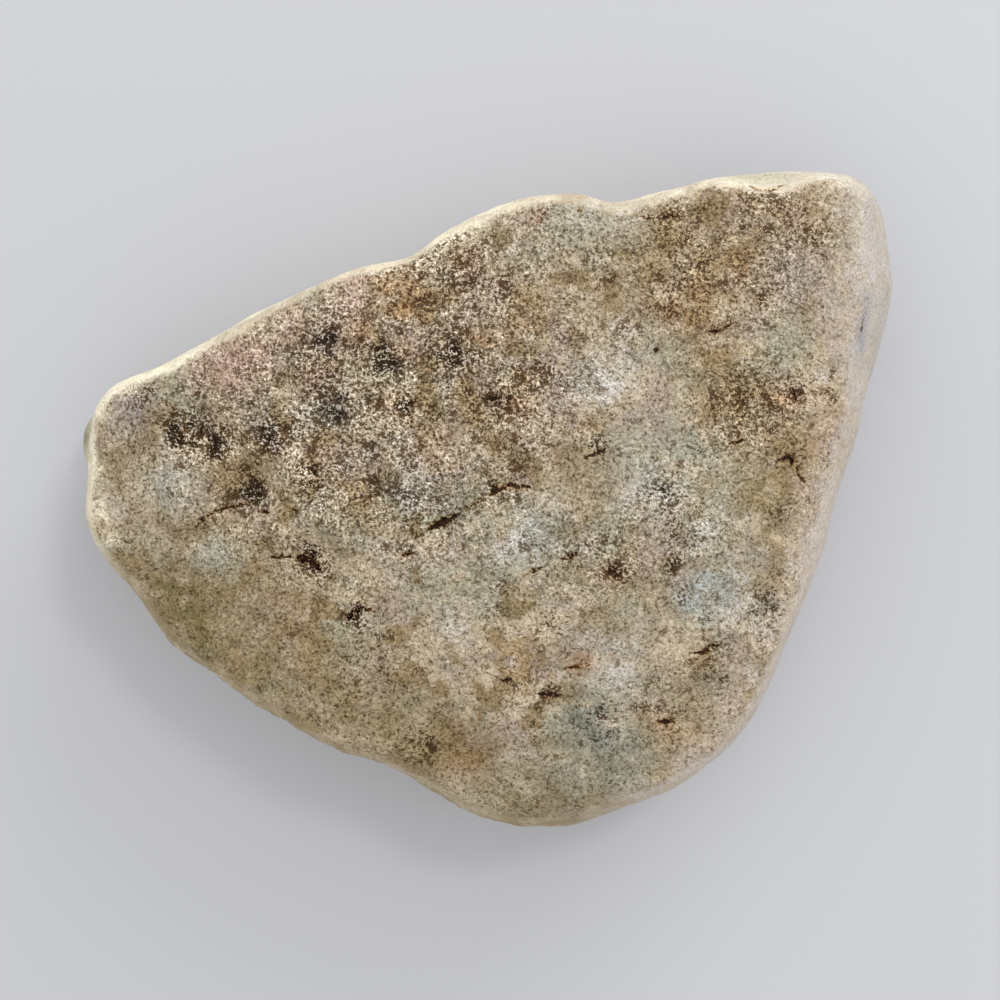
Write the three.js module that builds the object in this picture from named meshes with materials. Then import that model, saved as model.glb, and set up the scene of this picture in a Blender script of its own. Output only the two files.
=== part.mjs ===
// A piece of rough jadeite: a water-worn, three-cornered cobble with a broad, pitted upper face.
// It is one solid stone. It lies on its flattest side, where the skin is worn level.
// Millimetres, +Z up. The origin is under the middle of the stone, on the surface it rests on.
import * as THREE from "three";
import { ImprovedNoise } from "three/addons/math/ImprovedNoise.js";
import { mergeVertices } from "three/addons/utils/BufferGeometryUtils.js";

const { clamp, degToRad, euclideanModulo, lerp, radToDeg, smoothstep } = THREE.MathUtils;

const BALL_DETAIL = 19; // how finely the skin is divided: 20 * (n + 1) ** 2 triangles
const UPPER_SHARE = 0.3; // how much finer than even the upper face is, and the underside coarser
const CROWN = 33.5; // height of the middle of the upper face
const SHOULDER_ROUNDING = 3; // width of the soft edge between the upper face and the side
const TOE_ROUNDING = 2.5; // width of the soft edge between the side and the underside
const PLANE_ROUNDING = 5; // width of the soft ridges between the planes of the upper face
const FACET_ROUNDING = 3; // width of the soft edges round the worn facets, unless one says otherwise
const OVERSHOOT = 4; // how far the side would run on past the face that cuts it off
const RIM_CALM = 0.45; // how much of the skin's unevenness is worn off where it faces sideways
const PROFILE_STEPS = 120;

// The stone seen from above, at its widest, counter-clockwise from its right side.
const OUTLINE = [
  [45.1, 0], [48.3, 9.4], [51.5, 18.3], [53.2, 26.7], [53.4, 31.6], [52.6, 37.2], [49.2, 40.3],
  [45.2, 41.6], [36.4, 41.2], [29.3, 39.6], [24.8, 38.1], [20.4, 37.1], [16.4, 36.5], [12.1, 36.6],
  [4.7, 36.8], [0, 35.9], [-5, 34], [-9.9, 31], [-12.9, 29.9], [-18.1, 28.3], [-26.3, 24],
  [-32.4, 20.4], [-41, 16.3], [-46.5, 14.3], [-49.2, 11.8], [-50.2, 8], [-50.9, 0], [-51, -4],
  [-48.6, -9], [-44.2, -14], [-40.8, -19], [-36.3, -22.4], [-27.6, -27.7], [-18.8, -32.3],
  [-12, -34.4], [-6.9, -37.5], [-1.1, -41.2], [5.3, -43.1], [10.7, -42.7], [16.1, -40.6],
  [21.9, -38.5], [29.7, -33.9], [34.5, -28.7], [37.7, -23.1], [40.5, -16.7], [43.8, -6.8],
];

// The side of the stone, station by station round the compass, in degrees from +X.
// girth: height of the widest line. lean: how far the side leans in above it, and bulge: how
// full it is, 1 for a flat bevel and 2 for a round one. tuck and belly say the same below it.
const SIDE = [
  { at: 0, girth: 14, lean: 6, bulge: 1.8, tuck: 17, belly: 1.9 },
  { at: 28, girth: 14, lean: 8, bulge: 1.8, tuck: 15, belly: 2 },
  { at: 44, girth: 14, lean: 6.5, bulge: 1.9, tuck: 15, belly: 2 },
  { at: 60, girth: 16, lean: 5, bulge: 1.9, tuck: 15, belly: 1.9 },
  { at: 92, girth: 17, lean: 5, bulge: 1.9, tuck: 17, belly: 1.8 },
  { at: 125, girth: 16, lean: 4.2, bulge: 1.9, tuck: 14, belly: 1.8 },
  { at: 158, girth: 15, lean: 4.4, bulge: 2, tuck: 15, belly: 2 },
  { at: 180, girth: 12, lean: 5, bulge: 2, tuck: 13, belly: 2 },
  { at: 212, girth: 16, lean: 5, bulge: 2, tuck: 17, belly: 1.8 },
  { at: 242, girth: 17, lean: 5, bulge: 2, tuck: 18, belly: 1.75 },
  { at: 275, girth: 15, lean: 7, bulge: 2, tuck: 18, belly: 1.9 },
  { at: 303, girth: 15, lean: 6, bulge: 1.9, tuck: 16, belly: 2 },
  { at: 330, girth: 14, lean: 5.5, bulge: 1.9, tuck: 15, belly: 1.9 },
];

// The upper face is four broad planes, worn into one another. Each falls away from the crown
// once it is `from` millimetres out towards `towards`, by `fall` millimetres a millimetre.
const UPPER_PLANES = [
  { towards: 20, from: 14, fall: 0.08 },
  { towards: 182, from: 8, fall: 0.16 },
  { towards: 262, from: 9, fall: 0.2 },
  { towards: 118, from: 14, fall: 0.14 },
];

// Flat places worn on to the stone: a point on each and the way that it faces.
const FACETS = [
  { at: [-43.5, -15.5, 26.5], facing: [-0.52, -0.46, 0.72] }, // bevel at the lower left
  { at: [44.5, 25, 30.3], facing: [0.45, -0.03, 0.89], rounding: 5 }, // right shoulder
  { at: [51.5, 25, 20], facing: [0.86, -0.06, 0.5], rounding: 5 }, // right side
  { at: [-46, 4, 4], facing: [-0.5, 0.05, -0.86] }, // under the left end
  { at: [-26, 21, 8], facing: [-0.36, 0.72, -0.6] }, // under the upper left side
  { at: [28, 36, 9], facing: [0.08, 0.66, -0.75] }, // under the top side
  { at: [46, 16, 6.5], facing: [0.68, -0.04, -0.73] }, // under the right side
  { at: [6, -38, 7], facing: [0.02, -0.66, -0.75] }, // under the bottom tip
  { at: [-28, -22, 6.5], facing: [-0.4, -0.62, -0.67] }, // under the lower left side
  { at: [31, -27, 7], facing: [0.62, -0.42, -0.66] }, // under the lower right side
];

// Lumps stand out of the skin and hollows sink into it, on the upper face unless z says where.
const LUMPS = [
  { x: -51, y: 7.5, z: 9, radius: 4.4, height: 4 }, // knob on the left end
  { x: -51, y: -2.4, z: 12, radius: 3, height: 1.4 }, // nib below the knob
  { x: 9, y: 31.5, radius: 8, height: 1.3 }, // lobe left of the fold
  { x: 30, y: 32, radius: 9, height: 1.1 }, // lobe right of the fold
  { x: -24.5, y: 3.5, radius: 5, height: 1.1 },
  { x: -38, y: 1, radius: 6, height: 0.7 },
  { x: -16, y: -15, radius: 8, height: 0.9 },
  { x: 19, y: -8, radius: 11, height: 0.8 },
  { x: -17, y: 21, radius: 5, height: 0.7 },
  { x: 49, y: 26, z: 20, radius: 9, height: 0.8 }, // swelling of the right side
  { x: 30, y: 8, z: 0, radius: 22, height: 1 },
];
const HOLLOWS = [
  { x: 35.4, y: 40.4, radius: 3.4, height: 2.4 }, // scallop chipped out of the top edge
  { x: -33.6, y: 7.1, radius: 3.3, height: 1.5 },
  { x: -35.6, y: 9.4, radius: 2.6, height: 0.9 },
  { x: -28, y: 1.1, radius: 3, height: 1.7 },
  { x: -20.2, y: -7.8, radius: 3, height: 1.8 },
  { x: -11.7, y: 16.8, radius: 4, height: 1.1 },
  { x: -5, y: 17.5, radius: 4.2, height: 1.1 },
  { x: -24.5, y: 16, radius: 3.4, height: 0.9 },
  { x: -26.5, y: 22.4, radius: 3.2, height: 0.9 },
  { x: -4.4, y: -2.4, radius: 2.8, height: 1 },
  { x: -6.4, y: -30.7, radius: 5, height: 1.2 },
  { x: 32, y: 12, radius: 6, height: 0.9 },
  { x: 22, y: -6, radius: 4, height: 0.8 },
  { x: 15.5, y: 15.5, radius: 8, height: 0.8 },
  { x: -15, y: -14, radius: 2.6, height: 0.8 },
  { x: 10, y: -22, z: 1, radius: 13, height: 2 }, // the underside is hollow here
  { x: -22, y: 6, z: 1, radius: 12, height: 1.8 },
];

// Creases are long hollows along a line of points.
const CREASES = [
  { line: [[16, 40, 18], [16.4, 38.4, 26], [18.5, 35, 32], [24, 33.4, 33]], width: 2.8, depth: 1.5 },
  { line: [[-10, 33, 18], [-9.8, 31, 27], [-8, 26, 31]], width: 3.2, depth: 0.9 },
  { line: [[-7, -3.5, 33], [0, 0.3, 33], [6.5, 1.3, 33]], width: 2, depth: 1 },
  { line: [[-35, -4.3, 29], [-31, -1, 30], [-27, 1.5, 31]], width: 2, depth: 1 },
  { line: [[-26, -7, 30], [-22, -6.8, 31], [-18.5, -9, 31]], width: 2, depth: 1 },
  { line: [[50, 24, 18], [49, 19, 18], [47, 12, 18]], width: 2.6, depth: 0.7 },
];

// The natural unevenness of the skin: wavelength and height of each size of swell.
const SWELLS = [
  { wavelength: 34, height: 2.4 },
  { wavelength: 15, height: 1.2 },
  { wavelength: 7.5, height: 0.5 },
];

const noise = new ImprovedNoise();

/** The lower of two heights, with the corner between them rounded off. */
function softLower(a, b, rounding) {
  const overlap = Math.max(rounding - Math.abs(a - b), 0) / rounding;
  return Math.min(a, b) - (overlap * overlap * rounding) / 4;
}

/** The higher of two heights, rounded in the same way. */
function softHigher(a, b, rounding) {
  return -softLower(-a, -b, rounding);
}

/** The side's shape in one compass direction, blended from the stations on either side. */
function sideTowards(degrees) {
  const turn = euclideanModulo(degrees, 360);
  const next = SIDE.findIndex((station) => station.at > turn);
  const after = SIDE[Math.max(next, 0)];
  const before = SIDE.at(next === -1 ? -1 : next - 1);
  const gap = euclideanModulo(after.at - before.at, 360);
  const share = smoothstep(euclideanModulo(turn - before.at, 360) / gap, 0, 1);
  const blend = (key) => lerp(before[key], after[key], share);
  return {
    girth: blend("girth"),
    lean: blend("lean"),
    bulge: blend("bulge"),
    tuck: blend("tuck"),
    belly: blend("belly"),
  };
}

/** Height of the upper face over a point of the plan. */
function upperFace(x, y) {
  return UPPER_PLANES.reduce((height, plane) => {
    const turn = degToRad(plane.towards);
    const out = x * Math.cos(turn) + y * Math.sin(turn) - plane.from;
    return softLower(height, CROWN - plane.fall * out, PLANE_ROUNDING);
  }, CROWN);
}

/** How much of its height a side has made, once it is `inset` millimetres in. */
function sideShare(inset, reach, fullness) {
  const left = 1 - clamp(inset / reach, 0, 1);
  return Math.pow(1 - Math.pow(left, fullness), 1 / fullness);
}

/** The profile from the middle of the upper face, over the side, to the middle underneath. */
function profileTowards(rim, facing) {
  const side = sideTowards(radToDeg(Math.atan2(rim.y, rim.x)));
  const points = [];
  for (let i = 0; i <= PROFILE_STEPS; i += 1) {
    const share = Math.sin((Math.PI * i) / PROFILE_STEPS); // closely spaced near the rim
    const inset = rim.length() * (1 - share) * facing;
    if (i <= PROFILE_STEPS / 2) {
      const face = upperFace(rim.x * share, rim.y * share);
      const rise = face + OVERSHOOT - side.girth;
      const wall = side.girth + rise * sideShare(inset, side.lean, side.bulge);
      points.push({ share, z: softLower(face, wall, SHOULDER_ROUNDING) });
    } else {
      const drop = side.girth + OVERSHOOT;
      const wall = side.girth - drop * sideShare(inset, side.tuck, side.belly);
      points.push({ share, z: softHigher(0, wall, TOE_ROUNDING) });
    }
  }
  return points;
}

/** The place on a profile that has the given share of the profile's skin above it. */
function slideDown(profile, radius, skinShare) {
  const skin = [0];
  for (let i = 1; i < profile.length; i += 1) {
    const a = profile[i - 1];
    const b = profile[i];
    const step = Math.hypot((b.share - a.share) * radius, b.z - a.z);
    skin.push(skin[i - 1] + (step * (a.share + b.share)) / 2);
  }
  const wanted = skinShare * skin.at(-1);
  const i = clamp(skin.findIndex((s) => s >= wanted), 1, skin.length - 1);
  const along = (wanted - skin[i - 1]) / Math.max(skin[i] - skin[i - 1], 1e-9);
  return {
    share: lerp(profile[i - 1].share, profile[i].share, along),
    z: lerp(profile[i - 1].z, profile[i].z, along),
  };
}

/** An even ball of triangles, drawn over the stone's form vertex by vertex. */
function stoneForm() {
  const ball = new THREE.IcosahedronGeometry(1, BALL_DETAIL);
  ball.deleteAttribute("normal");
  ball.deleteAttribute("uv");
  const form = mergeVertices(ball);
  const corners = OUTLINE.map(([x, y]) => new THREE.Vector3(x, y, 0));
  const plan = new THREE.CatmullRomCurve3(corners, true, "centripetal");
  const position = form.attributes.position;
  const place = new THREE.Vector3();
  for (let i = 0; i < position.count; i += 1) {
    place.fromBufferAttribute(position, i).normalize();
    const along = euclideanModulo(Math.atan2(place.y, place.x) / (2 * Math.PI), 1);
    const rim = plan.getPointAt(along);
    const tangent = plan.getTangentAt(along);
    const facing = new THREE.Vector3(tangent.y, -tangent.x, 0).dot(rim.clone().normalize());
    const level = (1 - place.z) / 2;
    const skinShare = level - UPPER_SHARE * level * (1 - level);
    const spot = slideDown(profileTowards(rim, facing), rim.length(), skinShare);
    position.setXYZ(i, rim.x * spot.share, rim.y * spot.share, spot.z);
  }
  return form;
}

/** Wears a place back to the facets that it stands beyond. */
function wearToFacets(place) {
  FACETS.forEach(({ at, facing, rounding = FACET_ROUNDING }) => {
    const outward = new THREE.Vector3(...facing).normalize();
    const beyond = place.clone().sub(new THREE.Vector3(...at)).dot(outward);
    place.addScaledVector(outward, softLower(beyond, 0, rounding) - beyond);
  });
  return place;
}

/** Distance from a place to a line of points. */
function distanceToLine(place, line) {
  const corners = line.map((point) => new THREE.Vector3(...point));
  const nearest = new THREE.Vector3();
  return corners.slice(1).reduce((least, end, i) => {
    new THREE.Line3(corners[i], end).closestPointToPoint(place, true, nearest);
    return Math.min(least, nearest.distanceTo(place));
  }, Infinity);
}

/** How far the skin stands out of the plain form at one place. */
function relief(place, outward) {
  const sum = (list, value) => list.reduce((total, item) => total + value(item), 0);
  const bell = (distance, radius) => Math.exp(-((distance / radius) ** 2));
  const bump = ({ x, y, z = upperFace(x, y), radius, height }) =>
    height * bell(place.distanceTo(new THREE.Vector3(x, y, z)), radius);
  const crease = ({ line, width, depth }) => depth * bell(distanceToLine(place, line), width);
  const swell = ({ wavelength, height }) =>
    height * noise.noise(place.x / wavelength, place.y / wavelength, place.z / wavelength + 7.3);
  const calm = 1 - RIM_CALM * (1 - Math.abs(outward.z));
  return sum(LUMPS, bump) - sum(HOLLOWS, bump) - sum(CREASES, crease) + calm * sum(SWELLS, swell);
}

/** Moves every vertex of a geometry to where `move` sends it. */
function reshape(geometry, move) {
  geometry.computeVertexNormals();
  const { position, normal } = geometry.attributes;
  for (let i = 0; i < position.count; i += 1) {
    const place = new THREE.Vector3().fromBufferAttribute(position, i);
    const outward = new THREE.Vector3().fromBufferAttribute(normal, i);
    position.setXYZ(i, ...move(place, outward).toArray());
  }
}

/** The finished skin: the form with its relief, worn level where it meets the ground. */
function stoneGeometry() {
  const form = stoneForm();
  reshape(form, (place) => wearToFacets(place));
  reshape(form, (place, outward) => place.addScaledVector(outward, relief(place, outward)));
  reshape(form, (place) => place.setZ(Math.max(place.z, 0)));
  form.computeBoundingBox();
  const middle = form.boundingBox.getCenter(new THREE.Vector3());
  form.translate(-middle.x, -middle.y, -form.boundingBox.min.z);
  form.computeVertexNormals();
  return form;
}

const skin = new THREE.MeshStandardMaterial({
  name: "weathered_jadeite",
  color: new THREE.Color(0.62, 0.55, 0.44),
  roughness: 0.72,
  metalness: 0,
});

const stone = new THREE.Mesh(stoneGeometry(), skin);
stone.name = "jadeite_cobble";

const roughJadeite = new THREE.Group();
roughJadeite.add(stone);

export default roughJadeite;
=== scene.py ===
from math import cos, radians, sin

import bmesh
import bpy
import numpy as np
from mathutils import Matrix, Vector, noise
from mathutils.bvhtree import BVHTree


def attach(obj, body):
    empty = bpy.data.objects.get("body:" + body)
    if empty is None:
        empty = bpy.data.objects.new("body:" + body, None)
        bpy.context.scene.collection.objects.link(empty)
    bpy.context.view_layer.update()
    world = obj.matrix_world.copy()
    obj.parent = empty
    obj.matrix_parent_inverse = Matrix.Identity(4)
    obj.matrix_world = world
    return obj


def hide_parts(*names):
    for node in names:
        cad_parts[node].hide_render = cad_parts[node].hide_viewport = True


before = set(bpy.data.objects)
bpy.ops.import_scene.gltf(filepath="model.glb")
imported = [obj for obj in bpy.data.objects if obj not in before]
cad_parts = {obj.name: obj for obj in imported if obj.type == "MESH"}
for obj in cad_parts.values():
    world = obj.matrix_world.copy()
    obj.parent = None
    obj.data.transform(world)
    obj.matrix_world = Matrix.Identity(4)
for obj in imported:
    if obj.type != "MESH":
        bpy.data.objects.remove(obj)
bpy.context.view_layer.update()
mm = 0.001  # sizes below are in millimetres, and this turns them into metres


def shade(red, green, blue):
    # a screen colour, 0 to 255, as the linear colour that shaders use
    return (*(((c / 255 + 0.055) / 1.055) ** 2.4 for c in (red, green, blue)), 1.0)


def between(low, high, share):
    # low where the share is 0 and high where it is 1, for numbers, arrays and wires
    return low + (high - low) * share


# The camera looks straight down on the stone. Near and far are the limits of its sight.
view = {"lens": 60, "sensor": 36, "overX": 2.37, "overY": -0.05, "height": 234, "near": 10, "far": 10000}


def makeCamera():
    camera = bpy.data.objects.new("camera", bpy.data.cameras.new("camera"))
    bpy.context.scene.collection.objects.link(camera)
    camera.data.lens = view["lens"]
    camera.data.sensor_width = view["sensor"]
    camera.data.clip_start = view["near"] * mm
    camera.data.clip_end = view["far"] * mm
    camera.location = Vector((view["overX"], view["overY"], view["height"])) * mm
    bpy.context.scene.camera = camera


# Daylight from a wide sky, a low window beyond the stone's far edge and a small high source that
# throws the shadow. Towards is an angle from the x axis towards y and rise an elevation, both in
# degrees. Sizes and distances are in metres here and powers in watts.
studio = {
    "key": {
        "towards": 46, "rise": 62, "size": 0.12, "away": 0.9, "power": 0.95,
        "colour": (1.0, 0.97, 0.93)},
    "window": {
        "towards": 62, "rise": 22, "size": 0.6, "away": 0.9, "power": 3.4,
        "colour": (0.96, 0.98, 1.0)},
    "sky": (0.985, 0.98, 0.975, 1.0), "skyStrength": 0.885,
    "floor": shade(199, 201, 206), "floorRoughness": 0.6, "floorSize": 3.0,
}


def makeLamp(name):
    lamp = bpy.data.lights.new(name, "AREA")
    lamp.size = studio[name]["size"]
    lamp.energy = studio[name]["power"]
    lamp.color = studio[name]["colour"]
    turn, lift = radians(studio[name]["towards"]), radians(studio[name]["rise"])
    out = Vector((cos(turn) * cos(lift), sin(turn) * cos(lift), sin(lift)))
    holder = bpy.data.objects.new(name, lamp)
    holder.location = out * studio[name]["away"]
    holder.rotation_euler = out.to_track_quat("Z", "Y").to_euler()
    bpy.context.scene.collection.objects.link(holder)


def makeStudio():
    makeLamp("key")
    makeLamp("window")
    world = bpy.data.worlds.new("sky")
    bpy.context.scene.world = world
    world.use_nodes = True
    sky = world.node_tree.nodes["Background"].inputs
    sky["Color"].default_value = studio["sky"]
    sky["Strength"].default_value = studio["skyStrength"]
    bpy.context.scene.view_settings.view_transform = "Standard"
    bpy.ops.mesh.primitive_plane_add(size=studio["floorSize"])
    floor = bpy.context.object
    floor.name = "floor"
    paper = bpy.data.materials.new("paleFloor")
    paper.use_nodes = True
    surface = paper.node_tree.nodes["Principled BSDF"].inputs
    surface["Base Color"].default_value = studio["floor"]
    surface["Roughness"].default_value = studio["floorRoughness"]
    floor.data.materials.append(paper)


makeCamera()
makeStudio()
print("camera, light and floor made")


class Wire:
    # One output of a node. Sums with numbers or with other wires add Math nodes.
    def __init__(self, socket):
        self.socket = socket

    def node(self, kind, settings=None, sockets=None, output=0):
        # any other node: its settings first, then a value or a wire for each socket
        made = self.socket.id_data.nodes.new(kind)
        for name, value in (settings or {}).items():
            setattr(made, name, value)
        for key, value in (sockets or {}).items():
            target = pickSocket(made.inputs, key)
            if isinstance(value, Wire):
                self.socket.id_data.links.new(value.socket, target)
            else:
                target.default_value = value
        return Wire(pickSocket(made.outputs, output))

    def math(self, operation, *values):
        return self.node("ShaderNodeMath", {"operation": operation}, dict(enumerate(values)))

    def __add__(self, other):
        return self.math("ADD", self, other)

    def __sub__(self, other):
        return self.math("SUBTRACT", self, other)

    def __rsub__(self, other):
        return self.math("SUBTRACT", other, self)

    def __mul__(self, other):
        return self.math("MULTIPLY", self, other)

    def __truediv__(self, other):
        return self.math("DIVIDE", self, other)

    def __rtruediv__(self, other):
        return self.math("DIVIDE", other, self)

    __radd__ = __add__
    __rmul__ = __mul__

    def power(self, exponent):
        return self.math("POWER", self, exponent)

    def atLeast(self, other):
        return self.math("MAXIMUM", self, other)

    def atMost(self, other):
        return self.math("MINIMUM", self, other)

    def bell(self):
        # 1 at zero, falling away on both sides
        return self.math("EXPONENT", 0 - self * self)

    def smooth(self, low, high):
        # 0 below low, 1 above high, and soft in between
        ends = {"Value": self, "From Min": low, "From Max": high}
        return self.node("ShaderNodeMapRange", {"interpolation_type": "SMOOTHSTEP"}, ends)

    def steps(self, ramps):
        # a staircase, which goes up by 1 over each ramp
        return sum((self.smooth(*ends) for ends in ramps[1:]), self.smooth(*ramps[0]))

    def mixTo(self, other, factor, blend="MIX"):
        # a colour that goes from this one to the other
        settings = {"data_type": "RGBA", "blend_type": blend}
        return self.node("ShaderNodeMix", settings, {"Factor": factor, "A": self, "B": other}, "Result")

    def vector(self, operation, other, output=0):
        return self.node("ShaderNodeVectorMath", {"operation": operation}, {0: self, 1: other}, output)

    def scale(self, factor):
        settings = {"operation": "SCALE"}
        return self.node("ShaderNodeVectorMath", settings, {0: self, "Scale": factor})

    def noise(self, size, detail=2.0, roughness=0.5, distortion=0.0, output=0):
        sockets = {"Vector": self, "Scale": 1 / size, "Detail": detail,
                   "Roughness": roughness, "Distortion": distortion}
        return self.node("ShaderNodeTexNoise", None, sockets, output)

    def shaken(self, size, reach, detail=2.0):
        # a place moved by noise, so that what is drawn from it gets a ragged edge
        push = self.noise(size, detail, 0.6, output="Color").vector("SUBTRACT", (0.5, 0.5, 0.5))
        return self.vector("ADD", push.scale(reach * 2))


def pickSocket(sockets, key):
    # a socket by its number, or the one in use that has the name
    if isinstance(key, int):
        return sockets[key]
    return next(s for s in sockets if s.name == key and s.enabled)


# The plain form is a copy of the solid's mesh, merged and divided so many times. Places in the plan
# are looked up from high over it, and those past its outline from its waist.
form = {
    "node": "jadeite_cobble", "slot": "weathered_jadeite", "merge": 0.001, "divide": 2,
    "over": 60, "waist": 12,
}


def evaluatedMesh(thing):
    # what the modifiers make of a thing, as a plain mesh
    graph = bpy.context.evaluated_depsgraph_get()
    return bpy.data.meshes.new_from_object(thing.evaluated_get(graph), depsgraph=graph)


def replaceMesh(thing, mesh):
    thing.modifiers.clear()
    old = thing.data
    thing.data = mesh
    bpy.data.meshes.remove(old)


def makeForm():
    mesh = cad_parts[form["node"]].data.copy()
    mesh.materials.clear()
    work = bmesh.new()
    work.from_mesh(mesh)
    bmesh.ops.remove_doubles(work, verts=work.verts, dist=form["merge"] * mm)
    work.to_mesh(mesh)
    work.free()
    for name in ("sharp_face", "sharp_edge", "custom_normal"):
        if name in mesh.attributes:
            mesh.attributes.remove(mesh.attributes[name])
    stone = bpy.data.objects.new("jadeiteStone", mesh)
    bpy.context.scene.collection.objects.link(stone)
    divide = stone.modifiers.new("divide", "SUBSURF")
    divide.levels = divide.render_levels = form["divide"]
    replaceMesh(stone, evaluatedMesh(stone))
    return stone


stone = makeForm()
print("form made", len(stone.data.vertices), "points")

# The weathered skin drifts between these tones. Size is the size of the drift.
tones = {
    "tan": {"colour": (186, 169, 141)},
    "ochre": {"colour": (156, 131, 90), "size": 8, "from": 0.5, "to": 0.72},
    "mauveGrey": {"colour": (164, 146, 130), "size": 6, "from": 0.5, "to": 0.7},
    "greenGrey": {"colour": (160, 154, 130), "size": 7, "from": 0.52, "to": 0.72},
    "pale": {"colour": (188, 175, 155), "size": 4.5, "from": 0.56, "to": 0.72},
    "brown": {"colour": (138, 116, 78), "size": 4, "from": 0.57, "to": 0.72},
}

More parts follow.
